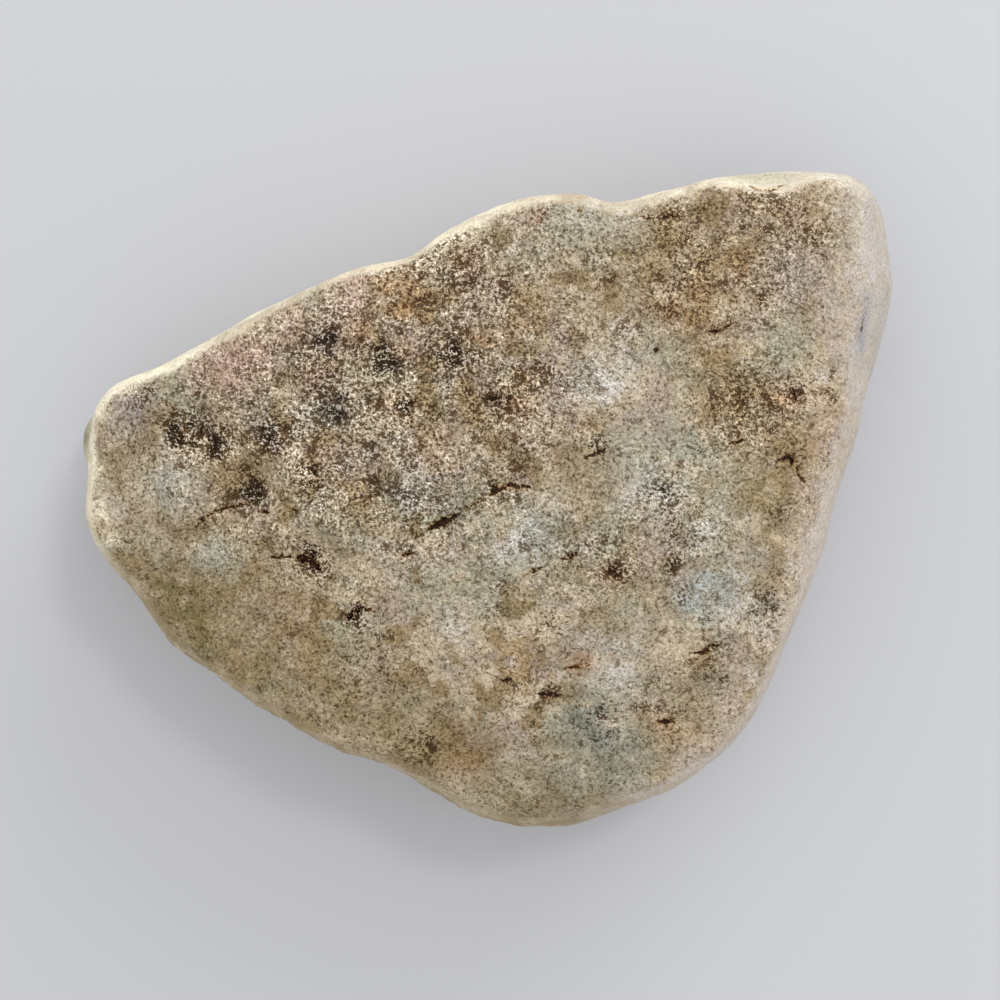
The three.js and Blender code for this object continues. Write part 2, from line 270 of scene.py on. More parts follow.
# Stains, clean patches, a darker lower part and painted highlights on the rims: a colour and the places
# where it shows, as x, y, radius and strength seen from above. They lie on the upper face or on the sides,
# or anywhere.
zones = {
    "buff": {"colour": (150, 128, 92), "on": "face", "places": [
        (19, 29, 7, .4), (34, 32, 7, .5), (0, 24, 7, .4), (26, 24, 6, .5), (3, 7, 6, .3),
        (31, 11, 3.5, .7), (35, 13, 2.5, .5), (38.5, 7, 2.6, .6), (37, 6, 3, .4), (-25, -11.5, 4, .5),
        (-45, 6, 2.5, .4), (-45.5, -5, 2, .2), (-12.5, -23.5, 5, .3), (22.5, 33, 3, .5),
        (24, -4, 1.4, .5), (23, -7.5, 1.4, .5), (16.5, -9.5, 1.7, .7), (-16, 18, 4, .3),
        (-4, 14.5, 5.5, .3), (32.7, 4.8, 3, .6), (14.5, 2.4, 3.2, 1), (19.5, -12.2, 3.2, .9),
        (41.2, 32.5, 2.4, .7), (24.2, -29.2, 3.8, 1), (29, -23.1, 3.2, .9), (31, 14.5, 3, .5),
        (13.5, 2.2, 2.2, .6), (33.9, 12.1, 2.6, .5)]},
    "lilacGrey": {"colour": (163, 149, 139), "on": "face", "places": [
        (-43.5, 10.5, 2.5, .5), (-5, 2.5, 3, .4), (0, 23, 3, .3), (21.5, 8.5, 3, .4), (9.5, 8.5, 3, .3),
        (-41.5, 12, 2.4, .6), (39, 28, 4, .5), (-14, 5.5, 2.5, .4)]},
    "freshGreen": {"colour": (164, 159, 137), "on": "face", "places": [
        (6, -4.5, 4, .6), (-1.5, -2, 2.2, .5), (19, 3.5, 4, .6), (26.5, 0, 4.5, .5),
        (37.5, 18.5, 3, .8), (-39, 2, 1.8, .9), (-34, -7.5, 2, .7), (18, -13.5, 4, .5),
        (9.5, -7.5, 3.5, .4), (29, -7.5, 4.5, .6), (13.5, -33, 5, .5), (17, -31.5, 4, .5),
        (2.5, -36.5, 5, .4), (-3, -13.5, 2.2, .4), (-15.5, -5, 3, .5), (6.5, 30, 2, .4)]},
    "ice": {"colour": (196, 189, 176), "on": "face", "places": [
        (2.5, -6, 1.8, .8), (31, -14, 2.8, .6), (33.5, -7.5, 2, .5), (5.4, -4.9, 2.2, .5),
        (-37.7, 1.8, 2.6, 1), (19.3, 0.5, 2.4, .6), (17, -20.5, 3, .4), (28.4, -3.7, 2, .5),
        (17, -20.5, 3.8, .6), (14.5, 14, 3, .6), (17, 17, 3, .4), (18, 3.5, 3, .3),
        (-3.5, -14.5, 2.4, .4), (13, 34.5, 3.4, .3), (17.5, 35, 2.4, .4)]},
    "freshBlue": {"colour": (165, 165, 154), "on": "face", "places": [
        (28.2, -10.8, 2.9, .9), (26.5, -12.8, 2.2, .6), (7.2, -4.9, 2, .6), (25, 6.5, 2, .4),
        (23, 2, 2, .3)]},
    "pinkPale": {"colour": (212, 187, 168), "on": "face", "places": [
        (-30.4, 15.7, 3, 1), (-23.1, 21.2, 2.4, .5), (-15.8, 24.2, 2.6, .5), (-26, 18.5, 2, .3)]},
    "plum": {"colour": (112, 98, 92), "on": "face", "places": [
        (-17.6, 19.4, 2, .6), (-17.8, 12.2, 2.2, .5), (-23.5, 17, 1.6, .4), (-20, 14.5, 1.5, .3)]},
    "umber": {"colour": (126, 102, 64), "on": "face", "places": [
        (-3.1, -30.4, 3.3, 1), (-6.5, -30.5, 3, .5), (-1, -31.5, 2.6, .5), (3, 12.1, 1.8, .5),
        (-38, -9.5, 2, .4)]},
    "blush": {"colour": (180, 150, 130), "on": "face", "places": [
        (-31.5, 16, 2.4, .6), (-28.5, 17.5, 2.4, .6), (-34.5, 15, 2, .3), (-21, 15, 2, .4),
        (42.5, 8.5, 2.4, .5), (42.5, 0, 2.8, .5), (-16.5, 25.5, 3, .3), (-5, 7, 3, .3),
        (28, -33.5, 3, .4)]},
    "olive": {"colour": (128, 115, 76), "on": "any", "places": [
        (-38, -10, 2.4, .9), (-36.5, -13, 2.7, .8), (-34.5, -16, 2.7, .8), (-30.5, -18, 2.8, .7),
        (-27.5, -21, 3.2, .7), (-22.5, -24, 3.8, .6), (-17.5, -27, 3.2, .5), (36, -2.5, 2.2, .6),
        (34.5, 2.5, 3, .3), (21.5, -22.5, 2, .4), (9.5, -19, 1.8, .4), (-6.5, -30, 3.2, .6),
        (-20.5, -2, 2, .4), (3, -13.5, 1.4, .2), (-10, -30, 2.6, .4)]},
    "rust": {"colour": (164, 122, 82), "on": "any", "places": [
        (-9, 27.5, 2.4, .5), (-9, 24, 2, .4), (-14.5, 20, 1.8, .4), (-9.5, 18, 1.4, .4),
        (-13, 12.5, 1.7, .3), (0, 20, 2.2, .5), (5.5, 12, 1.6, .6), (25.5, 23.5, 2.4, .4),
        (31.5, 28.5, 1.5, .4), (-2, 29, 1.8, .4), (-2.5, -32, 1.8, .5), (12, -20, 1.4, .6),
        (22.5, -27, 1.5, .4), (-30, -19, 1.6, .3), (-21, -14.5, 1.8, .3), (16.5, -9.5, 1.2, .4),
        (7, 34, 1, .6), (-18.5, 6, 1.6, .3), (37.5, 11.5, 1.4, .4)]},
    "slate": {"colour": (121, 120, 104), "on": "face", "places": [
        (14, -28, 3.4, .8), (11.5, -27, 2, .3), (29, -22.5, 2, .6), (17, -32.8, 3.5, .7),
        (35, -14, 2, .4), (6, -5.5, 1.1, .6), (-23.5, 17, 1.8, .4), (-17.5, 12, 2.2, .5),
        (25.5, 6.5, 1.6, .3), (-41, 12.5, 1.8, .2), (7.8, -37.5, 4, .7), (-10, 1.5, 2.4, .3)]},
    # Darker brown over the lower left and the bottom tip, and in a few patches on the face.
    "darkerLowParts": {"colour": (142, 124, 91), "on": "face", "places": [
        (-40, -6, 7, .4), (-36, -12, 6, .15), (-30, -18, 6, .45), (-22, -23, 6, .45), (-13, -28, 6, .6),
        (-5, -32, 6, .3), (4, -37, 5, .5), (8, -41, 5, .6), (15, -38, 4, .4), (-26, -10, 7, .35),
        (-14, -18, 7, .35), (-36, 3, 6, .3), (36, -4, 4, .3), (-30, 12, 7, .2)]},
    "rubbed": {"colour": (177, 164, 150), "on": "any", "places": [
        (46.5, 38, 2.8, .6), (48.5, 32.5, 3.6, .8), (47.5, 26, 4.5, .85), (47, 20, 4.2, .8),
        (46, 14, 3.4, .7), (44.5, 8, 2.6, .6), (43, 1.5, 2.4, .5), (40.8, -6, 2, .5),
        (5, 38.5, 2.2, .5), (28, 40, 2.6, .6), (40, 41, 2.4, .6)]},
    # Cream of the clean walls, made lighter on the left and upper left as a painted highlight.
    "creamWallAndHighlight": {"colour": (246, 236, 208), "on": "side", "places": [
        (-46, 14, 12, 1), (-30, 23, 14, 1), (-12, 31, 12, 1), (1, 36.5, 7, 1), (-51, 2, 9, 1),
        (-50, -7, 7, .7)]},
    # Cream of the top walls, partly a painted highlight.
    "topCreamAndHighlight": {"colour": (230, 218, 192), "on": "side", "places": [
        (18, 38, 6, .5), (28, 39, 11, 1), (42, 41, 11, 1)]},
    # A painted highlight along the left and upper left rims, over their cream colour.
    "creamRimHighlight": {"colour": (243, 231, 200), "on": "any", "places": [
        (-47, 12, 1.4, .8), (-43.7, 14.3, 1.4, .8), (-39, 16.6, 1.3, .8), (-34, 19.3, 1.3, .8),
        (-28.7, 22.8, 1.3, .8), (-23.2, 25.4, 1.3, .8), (-17, 28, 1.4, .8), (-11.2, 29.4, 1.8, .9),
        (-6.4, 31.4, 2.5, 1), (-2, 33.6, 2, .7), (2.6, 35.8, 1.5, .6), (8, 36.9, 1.4, .6),
        (13.3, 37.2, 1.4, .3), (-47.8, 3.4, 1.3, .7), (-47.6, -1.3, 1.3, .7), (-46.6, -5, 1.2, .6)]},
    "pinkRim": {"colour": (190, 176, 160), "on": "any", "places": [
        (43.5, 2, 2, .7), (41.5, -4, 2, .7), (39.2, -10, 2, .7), (36.8, -16, 2.2, .7),
        (34, -21.5, 2.4, .7), (30.5, -26.5, 2.4, .7), (26, -31.5, 2.4, .6), (20, -36, 2.2, .4)]},
    "chip": {"colour": (170, 162, 130), "on": "any", "places": [
        (34, 40.5, 2.6, .6), (38, 40.5, 2.4, .5)]},
    "cleanPink": {"colour": (184, 175, 164), "on": "side", "places": [
        (52, 32, 12, 1), (52, 22, 12, 1), (49, 10, 11, 1)]},
    # Pink of the lower right walls, made lighter as a painted highlight where the light falls off.
    "pinkEdgeAndHighlight": {"colour": (192, 180, 166), "on": "side", "places": [
        (44, -2, 11, 1), (41, -12, 9, 1), (37, -22, 10, 1), (28, -34, 10, .9), (15, -41, 6, .4)]},
    "knobGreen": {"colour": (146, 139, 113), "on": "any", "places": [(-53.4, 8, 3.6, .9)]},
    "tanSide": {"colour": (158, 139, 103), "on": "side", "places": [
        (-42, -17, 9, .8), (-30, -26, 12, .9), (-14, -35, 11, .9), (0, -41, 8, .8), (12, -42, 8, .5)]},
    "steel": {"colour": (140, 142, 146), "on": "any", "places": [
        (48.2, 24.8, 1.1, .5), (48, 22.8, 1.1, .6), (47.7, 20.8, 1.2, .6), (47.3, 18.8, 1.3, .5)]},
    "oliveRim": {"colour": (118, 104, 62), "on": "any", "places": [
        (-37.8, -12.6, 2.3, .6), (-36.2, -15.5, 2.2, .6), (-33.4, -18, 1.9, .6), (-39.4, -9.8, 1.6, .5)]},
    "paleGreen": {"colour": (168, 167, 151), "on": "any", "places": [
        (-32.8, -6.7, 2, .7), (-34.8, -8.2, 1.2, .4), (-38.6, 1.2, 1.8, .5)]},
    "greyTan": {"colour": (146, 135, 112), "on": "any", "places": [
        (14.5, 2.4, 2.4, .6), (38.8, 20.6, 2.6, .5), (-40.3, -5, 2.6, .5), (-43.7, 6, 2.4, .5),
        (4, 30, 3, .3)]},
}

# Where the skin is eaten into small dark pits, as x, y, radius and strength like the zones' places.
pitted = [
    (-25, 21, 2.4, .3), (-17, 20, 3, .8), (-22, 16.5, 2.5, .8), (-11.5, 16.5, 2.2, .9), (-4, 17, 3, .8),
    (-8, 25, 5, .5), (-2.5, 27.5, 3, .8), (3.5, 26, 2, .8), (7, 33.5, 1.5, .8), (1, 22, 5, .4),
    (13.5, 30, 2, .5), (15, 27.5, 1.5, .6), (23.5, 33, 3, .7), (23, 25.5, 2.5, .8), (27, 26, 5, .45),
    (34, 36, 3, .65), (35.5, 32.5, 1.5, .6), (41, 32.5, 2, .9), (38, 36, 2, .5), (34.5, 25.5, 3, .5),
    (18, 21, 1.5, .6), (32, 12, 3.5, .7), (37.5, 13, 2, .9), (33, 8, 3, .5), (38, 5.4, 1.6, .5),
    (25.5, 5.5, 2, .4), (14, 6.5, 1.3, .9), (5, 6, 2, .7), (3.5, 11.5, 3, .7), (8, 14, 5, .45),
    (-2.5, 13, 1.5, .6), (-10, 11.5, 2.5, .7), (-18, 13, 3, .9), (-15, 10, 4, .5), (-27, 14, 3, .2),
    (-34, 13.5, 1.5, .6), (-41, 12.5, 1.6, .8), (-36.5, 8, 2.5, 1), (-33, 6.5, 2.2, 1),
    (-26, 7.5, 3, 1), (-22, 8.5, 2, .8), (-20, 2, 2.5, .8), (-14, 2, 5, .5), (-28, 1, 2.2, .8),
    (-33, -2, 2, .5), (-27, -5, 1.5, .5), (-7, 4, 5, .35), (-4.5, -2.5, 1.8, .4), (3.5, 1.3, 2.5, .7),
    (-20, -7.5, 2, 1), (-14.5, -14, 1.8, .8), (-9, -6, 1.5, .6), (-9.5, -3, 2.5, .4), (-43.5, 6, 2, .5),
    (-44, -5, 2, .3), (22.5, 0, 2, .8), (27, -.5, 1.2, .7), (23, -4.5, 1.5, .8), (23.3, -7.7, 1.3, .9),
    (17, -9, 1.4, 1), (15.5, -5.5, 2, .6), (11, -7, 1.5, .5), (6, -5.5, 1.3, .6), (28, -6, 1.5, .5),
    (37, -2.3, 1.3, .7), (35.5, -13.5, 2.2, .8), (25, -11.5, 1.5, .5), (28.5, -13.5, 1, .5),
    (28, -19, 2, .6), (13, -20, 1.4, .4), (8.5, -24, 1.5, .6), (4, -22, 1.5, .4), (5, -25, 1.5, .4),
    (15.5, -27.5, 2, .7), (23, -27, 1.8, .8), (29, -22.5, 1.5, .6), (22, -23.5, 2.5, .35),
    (8, -16, 1.8, .6), (2.5, -11, 1.2, .6), (2.5, -14, 2, .4), (7, -29, 1.5, .4), (-12, -20, 4, .3),
    (-24, -14.5, 1.5, .4), (-8, -30, 3, .6), (-18, -23, 5, .25), (43, 13.3, 1.3, .7),
    (43, 5.5, 1.5, .6), (43, 22.3, 1, .5),
]

# The same for the deepest places, where the pits have run together.
cavities = [
    (-34.5, 7, 1.5, 1), (-32.8, 7.3, 2.3, 1), (-31, 8, 1.3, .8), (-18.2, 19.4, 1.6, .8),
    (3.2, 12.2, 1.2, .6), (-12, 17.6, 1.6, .7), (-5, 18, 1.5, .6), (-37.3, 8.6, 1.4, .9),
    (-36, 6.8, 1.1, .8), (-32.5, 5, 1, .6), (-28.6, 2.6, 1.1, .8), (-28.2, .6, 1.2, .9),
    (-30.6, .9, 1.1, .4), (-26.5, 7.2, 1.7, .8), (-25, 9, 1.3, .6), (-21.2, -7.2, 1.9, 1),
    (-19.4, -8.8, 1.1, .8), (-12, 17, 2, .8), (-14, 15.6, 1.2, .6), (-4.5, 17.6, 2, .8),
    (-1.2, 16.6, 1.3, .7), (-9.5, 11, 1.6, .7), (-19.6, 18.6, 1.8, .8), (-22.5, 17, 1.4, .6),
    (-20.3, 3, 1.6, .7), (-17.5, 12.3, 1.7, .6), (-6.2, -3.2, .9, .5), (-4, -2.6, .8, .4),
    (2.2, 12, 1.6, .5), (-6.5, -31, 1.8, .5), (-14.8, -13.9, 1.2, .9), (8.2, -24, .9, .7),
    (-23, 6.6, 1.3, .6), (38.2, 13.2, 1, .6), (23.4, -7.9, 1, .7), (17, -9.4, 1.2, .7),
    (22.9, 1, 1.2, .5), (13.2, 7, 1.1, .6), (-41.5, 12.6, 1.1, .5),
]

# The same, wider, for where the grain is coarse.
roughened = [
    (-25, 10, 12, .9), (-10, 15, 13, .9), (0, 25, 9, .8), (-15, 20, 9, .8), (5, 13, 7, .6),
    (-5, 2, 8, .6), (28, 30, 9, .6), (38, 30, 6, .5), (33, 11, 5, .9), (23, -4, 5, .7), (12, -7, 5, .5),
    (-20, -2, 8, .5),
]

# How the stains lie. The side, under, turn and top ramps go by how far up the skin faces: 1 where it
# is level, 0 on a wall and -1 underneath. Every ramp is where something begins to show and where it
# shows in full. Drifts are layers of slow noise, each a size, a seed and a share.
weathering = {
    "fray": 1.3, "fraySize": 6, "fineFray": 0.5, "fineFraySize": 2,  # how ragged the zones' edges are
    "fraySeed": 4,  # any whole number but 0, which would take the seed from the clock
    "fade": 1.15,  # a place fades out over its radius times this
    "driftStep": (17.3, -9.1, 5.7),  # how far apart the seeds of the drifts lie
    "breakup": [(2.2, 1, 1.6), (2.2 / 2.3, 2, 0.8)],  # how a zone's colour comes and goes inside it
    # The clean side begins where the upper face turns down, and ends at the underside.
    "sideDrift": [(4, 3, 0.3), (1.5, 4, 0.15)], "sideRamp": (0.9, 0.6), "underRamp": (-0.8, -0.3),
    # Where the stone turns under, only this least share of the clean side is left.
    "turnDrift": [(6, 6, 0.5), (2, 7, 0.25)], "turnRamp": (-0.35, 0.0), "turnLeast": 0.2,
    "topRamp": (0.2, 0.5),  # where the stains of the upper face begin
    "toneSeed": 10, "toneBreakup": 0.3, "toneStrength": 0.85,
    # The face's stains go on over the sides and underneath as patches of their own.
    "patchSeed": 20, "patchSize": 10, "patchRamp": (0.5, 0.75), "patchStrength": 0.5, "patchSide": 0.7,
    # Cavities come and go inside their places too.
    "hollowSeed": 5, "hollowSize": 1.1, "hollowRamp": (0.3, 0.6), "hollowLeast": 0.45,
    "hollowStrength": 0.85,
    "tanIsFace": 0.7, "rubbedIsSide": 0.85,  # how far two of the zones change the grain that they have
    # Pits and coarse grain go on over the rest of the stone, and are few on the clean side.
    "restSeed": 40, "restSize": 9, "restRamp": (0.45, 0.75), "restSide": 0.8, "restEaten": 0.7,
    "eatenSide": 0.8,
}


def ramp(values, low, high):
    share = np.clip((values - low) / (high - low), 0, 1)
    return share * share * (3 - 2 * share)


def drift(points, size, seed):
    # slow noise from about 0 to 1 over the points
    shift = Vector([step * seed for step in weathering["driftStep"]])
    return np.array([0.5 + 0.5 * noise.noise(Vector(p) / size + shift) for p in points])


def wander(points, layers):
    # the layers of a drift, round 0
    return sum(share * (drift(points, size, seed) - 0.5) for size, seed, share in layers)


def frayed(points):
    # the points moved by noise, so that what is drawn from them has ragged edges
    noise.seed_set(weathering["fraySeed"])
    moved = np.empty_like(points)
    for i, point in enumerate(points):
        wide = noise.noise_vector(Vector(point) / weathering["fraySize"]) * weathering["fray"]
        fine = noise.noise_vector(Vector(point) / weathering["fineFraySize"]) * weathering["fineFray"]
        moved[i] = point + np.array(wide + fine)
    return moved


def skinTreeOf(mesh):
    places = [v.co / mm for v in mesh.vertices]
    return BVHTree.FromPolygons(places, [tuple(p.vertices) for p in mesh.polygons])


def onSkin(tree, x, y):
    # the point of the skin straight below a place of the plan, or the nearest one to it
    hit = tree.ray_cast(Vector((x, y, form["over"])), Vector((0, 0, -1)))[0]
    return hit if hit is not None else tree.find_nearest(Vector((x, y, form["waist"])))[0]


def spread(points, tree, places):
    # how strongly a list of places shows at each point, 0 to 1
    left = np.ones(len(points))
    for x, y, radius, strength in places:
        away = points - np.array(onSkin(tree, x, y))
        left *= 1 - strength * np.exp(-(away * away).sum(1) / (weathering["fade"] * radius) ** 2)
    return 1 - left


def readVectors(source, key):
    flat = np.empty(len(source) * 3, dtype=np.float32)
    source.foreach_get(key, flat)
    return flat.reshape(-1, 3)


def writeAttribute(mesh, name, values):
    if values.ndim == 1:
        made = mesh.attributes.new(name, "FLOAT", "POINT")
        made.data.foreach_set("value", values.astype(np.float32))
    else:
        made = mesh.attributes.new(name, "FLOAT_COLOR", "POINT")
        filled = np.hstack([values, np.ones((len(values), 1))]).astype(np.float32)
        made.data.foreach_set("color", filled.ravel())


def sideShare(points, upright):
    # where the clean side shows: not on the face or underneath, and less where the stone turns under
    edge = upright + wander(points, weathering["sideDrift"])
    turned = upright + wander(points, weathering["turnDrift"])
    side = ramp(edge, *weathering["sideRamp"]) * ramp(edge, *weathering["underRamp"])
    return side * between(weathering["turnLeast"], 1, ramp(turned, *weathering["turnRamp"]))


def paint(colour, over, shown):
    # the colours of all points, with another over them as strongly as it shows
    return colour + (np.array(shade(*over)[:3]) - colour) * np.clip(shown, 0, 1)[:, None]


def paintSkin(points, ragged, tree, breakup, side, top):
    # the tones first, then the zones over them in their order
    colour = np.tile(np.array(shade(*tones["tan"]["colour"])[:3]), (len(points), 1))
    for number, tone in enumerate(tones.values()):
        if "size" in tone:
            field = drift(ragged, tone["size"], weathering["toneSeed"] + number)
            field = field + weathering["toneBreakup"] * (breakup - 1)
            shown = weathering["toneStrength"] * ramp(field, tone["from"], tone["to"])
            colour = paint(colour, tone["colour"], shown)
    for number, zone in enumerate(zones.values()):
        shown = spread(ragged, tree, zone["places"]) * breakup
        if zone["on"] == "side":
            shown = shown * side
        if zone["on"] == "face":
            field = drift(points, weathering["patchSize"], weathering["patchSeed"] + number)
            patches = weathering["patchStrength"] * ramp(field, *weathering["patchRamp"]) * breakup
            patches = patches * (1 - top) * (1 - weathering["patchSide"] * side)
            shown = np.maximum(shown * top, patches)
        colour = paint(colour, zone["colour"], shown)
    return colour


def markStone(mesh):
    # what the relief and the finish read from the points: colour, pits, roughness and clean side
    points = readVectors(mesh.vertices, "co") / mm
    upright = readVectors(mesh.vertex_normals, "vector")[:, 2]
    tree = skinTreeOf(mesh)
    ragged = frayed(points)
    breakup = 1 + wander(points, weathering["breakup"])
    side = sideShare(points, upright)
    top = ramp(upright, *weathering["topRamp"])
    writeAttribute(mesh, "skinTone", paintSkin(points, ragged, tree, breakup, side, top))

    side = side * (1 - weathering["tanIsFace"] * spread(points, tree, zones["tanSide"]["places"]))
    rubbed = weathering["rubbedIsSide"] * spread(ragged, tree, zones["rubbed"]["places"])
    side = np.maximum(side, rubbed)
    rest = ramp(drift(points, weathering["restSize"], weathering["restSeed"]), *weathering["restRamp"])
    rest = rest * (1 - top) * (1 - weathering["restSide"] * side)
    eaten = spread(ragged, tree, pitted) * top * breakup + weathering["restEaten"] * rest
    eaten = np.clip(eaten * (1 - weathering["eatenSide"] * side), 0, 1)
    broken = drift(points, weathering["hollowSize"], weathering["hollowSeed"])
    broken = between(weathering["hollowLeast"], 1, ramp(broken, *weathering["hollowRamp"]))
    hollow = spread(ragged, tree, cavities) * top * broken
    rough = spread(points, tree, roughened) * top
    writeAttribute(mesh, "pitted", eaten + weathering["hollowStrength"] * hollow)
    writeAttribute(mesh, "rough", np.clip(rough + rest, 0, 1) * (1 - side))
    writeAttribute(mesh, "side", side)


markStone(stone.data)
print("skin coloured,", len(zones), "kinds of stain")

# Cracks and slits: a line of points seen from above, the half width and the depth.
cracks = [
    ([(-6.9, -3.8), (-5.9, -3.2), (-4.3, -2.6), (-2.4, -1.6)], .36, .8),
    ([(-2.6, -1.7), (-1.4, -.9), (0, -.1), (1, .2)], .2, .5),
    ([(.5, 0), (1.8, 1.1), (4, 1.7), (6.5, 1.4)], .3, .5),
    ([(-35.9, -4.2), (-34.9, -3.1), (-33.9, -2), (-30.5, -.7), (-27.2, .3)], .18, .4),
    ([(-26.6, -7.2), (-24.3, -7), (-22.4, -7)], .16, .4),
    ([(-23, -7), (-21, -7.4), (-19.5, -8.9)], .5, .8),
    ([(-24, -.9), (-22.7, -1.3), (-22.3, -2.3)], .14, .3),
    ([(-29.2, -2.5), (-28.3, -1.5), (-26.5, -1.3), (-25.8, -2.5)], .14, .3),
    ([(-45, -5), (-43.5, -5.4)], .16, .3),
    ([(-16.8, -14.9), (-14.8, -13.4), (-12.8, -13.7)], .26, .5),
    ([(-10, -6.9), (-7.8, -6.4)], .26, .35),
    ([(12.1, 5), (13.9, 5.6), (15.7, 6.3)], .25, .45),
    ([(12.9, 5.9), (13.8, 7.2)], .26, .45),
    ([(5.6, -9.1), (6.7, -8.5), (7.8, -8.3)], .2, .3),
    ([(9.6, -7.4), (11, -7), (12, -6.3)], .22, .35),
    ([(9.4, -20.9), (11.9, -20.6), (14.4, -20.1)], .16, .3),
    ([(2.4, -22.5), (4.4, -21.9)], .2, .35),
    ([(6.8, -23.9), (8.5, -24.1), (10.3, -24.1)], .24, .4),
    ([(21.2, -27.4), (22.9, -27.2), (24.5, -27.3)], .24, .4),
    ([(25.8, -18.9), (27.3, -18.7), (28.2, -17.9), (29.7, -17.7)], .26, .4),
    ([(27.2, 20.3), (29.4, 20.6), (31.2, 21.9)], .22, .45),
    ([(32.3, 38.9), (34.1, 37.9), (35.9, 38.2), (37.6, 39.1)], .2, .4),
    ([(21, 17.8), (21.7, 18.6)], .2, .35),
    ([(36.1, 4.7), (37.6, 5.1), (38.6, 3.9), (39, 2.9), (39.9, 1.7)], .25, .45),
    ([(37.7, 14.4), (38.3, 12.8), (38.6, 11.6)], .17, .35),
    ([(30.1, 6.7), (32.5, 7.4)], .2, .35),
    ([(47.8, 22.8), (47.2, 20.6)], .16, .3),
    ([(42.3, 13.9), (43.6, 12.9)], .2, .3),
    ([(11.1, 35.2), (12.6, 35.6)], .16, .3),
    ([(15.8, 36.1), (18.1, 34.9), (20.5, 34.2), (23.2, 34.4), (25.4, 34.7)], .15, .3),
]
# Its points lie a step apart. It is thin at its ends, widens inwards and varies on its way.
crackShape = {"step": 0.4, "endSize": 0.3, "widen": 3, "vary": 0.6, "varyCount": 9}

# The inputs of the skin's node tree, in millimetres.
skin = {
    "Swell height": 0.35, "Swell size": 6.0,
    "Lump height": 0.4, "Lump size": 2.2,
    "Grit height": 0.28, "Grit size": 1.0,
    "Pit depth": 0.45, "Pit radius": 1.0, "Pits per mm2": 0.9,
    "Crack fray": 0.22, "Cavity depth": 0.6, "Ledge height": 0.22, "Ledge size": 4.5,
    "Seed": 4,
}
# How the tree uses them: shares, ramps, and the sizes of the noise that makes edges ragged.
relief = {
    "noiseStep": (0.31, 0.17, 0.05),  # how far apart the swells, lumps and grit are read
    "pitGather": 1.5, "pitRarity": 2,  # higher gathers the pits in their places, and makes fewer large
    "smallestPit": 0.35, "pitBowl": 0.7, "pitFray": 0.35, "pitFraySize": 0.8,
    "crackFraySize": 1.8, "crackEnd": 6.0,  # a crack is forgotten past so many of its half widths
    "sideCalm": 0.6, "gritLeast": 0.45, "gritRough": 0.75,
    "cavityRamp": (0.9, 1.6), "ledgeRamps": ((0.4, 0.45), (0.49, 0.54), (0.57, 0.62)),
}


def makeCrackLines(mesh):
    # the cracks as edges that lie on the skin, with their widths and depths on the points
    tree = skinTreeOf(mesh)
    places, edges, widths, depths = [], [], [], []
    for line, width, depth in cracks:
        total = sum((Vector(b) - Vector(a)).length for a, b in zip(line, line[1:]))
        first, gone = len(places), 0
        for start, end in zip(line, line[1:]):
            gap = Vector(end) - Vector(start)
            steps = max(1, round(gap.length / crackShape["step"]))
            for i in range(steps):
                along = (gone + gap.length * i / steps) / total
                size = min(1, crackShape["endSize"] + crackShape["widen"] * min(along, 1 - along))
                uneven = noise.noise(Vector((*start, along * crackShape["varyCount"])))
                size *= 1 + crackShape["vary"] * uneven
                places.append(onSkin(tree, *(Vector(start) + gap * i / steps)) * mm)
                widths.append(width * size * mm)
                depths.append(depth * size * mm)
            gone += gap.length
        edges += [(i, i + 1) for i in range(first, len(places) - 1)]
    lines = bpy.data.meshes.new("crackLines")
    lines.from_pydata(places, edges, [])
    writeAttribute(lines, "width", np.array(widths))
    writeAttribute(lines, "depth", np.array(depths))
    holder = bpy.data.objects.new("crackLines", lines)
    bpy.context.scene.collection.objects.link(holder)
    return holder


def named(wire, name):
    # a value kept on the points
    return wire.node("GeometryNodeInputNamedAttribute", {"data_type": "FLOAT"}, {"Name": name})


def nearestPoint(points, place):
    sockets = {"Geometry": points, "Sample Position": place}
    return points.node("GeometryNodeSampleNearest", {"domain": "POINT"}, sockets)


def valueAt(points, value, index, kind="FLOAT"):
    settings = {"data_type": kind, "domain": "POINT"}
    sockets = {"Geometry": points, "Value": value, "Index": index}
    return points.node("GeometryNodeSampleIndex", settings, sockets)


def pitsOn(mesh, place, given):
    # points strewn over the skin, each the middle of a bowl with a ragged edge
    density = given["Pits per mm2"] * (1 / mm ** 2) * named(mesh, "pitted").power(relief["pitGather"])
    strewn = mesh.node(
        "GeometryNodeDistributePointsOnFaces", {"distribute_method": "RANDOM"},
        {"Mesh": mesh, "Density": density, "Seed": given["Seed"]}, "Points")
    spot = place.shaken(relief["pitFraySize"] * mm, relief["pitFray"] * mm)
    nearest = nearestPoint(strewn, spot)
    middle = valueAt(strewn, place, nearest, "FLOAT_VECTOR")
    sockets = {"ID": nearest, "Seed": given["Seed"]}
    chance = mesh.node("FunctionNodeRandomValue", {"data_type": "FLOAT"}, sockets, "Value")
    size = between(relief["smallestPit"], 1, chance.power(relief["pitRarity"]))
    away = spot.vector("DISTANCE", middle, "Value") / (given["Pit radius"] * size)
    return (1 - away).atLeast(0.0).power(relief["pitBowl"]) * size


def cracksOn(mesh, place, given):
    # how many of its half widths away the nearest crack is, along a shaken line, and how deep it is
    lines = mesh.node("GeometryNodeObjectInfo", None, {"Object": given["Cracks"]}, "Geometry")
    strayed = place.shaken(relief["crackFraySize"] * mm, given["Crack fray"], 3.0)
    sockets = {0: lines, "Sample Position": strayed}
    toLine = mesh.node("GeometryNodeProximity", {"target_element": "EDGES"}, sockets, "Distance")
    onLine = nearestPoint(lines, strayed)
    toCrack = toLine / valueAt(lines, named(mesh, "width"), onLine)
    return toCrack.atMost(relief["crackEnd"]), valueAt(lines, named(mesh, "depth"), onLine)


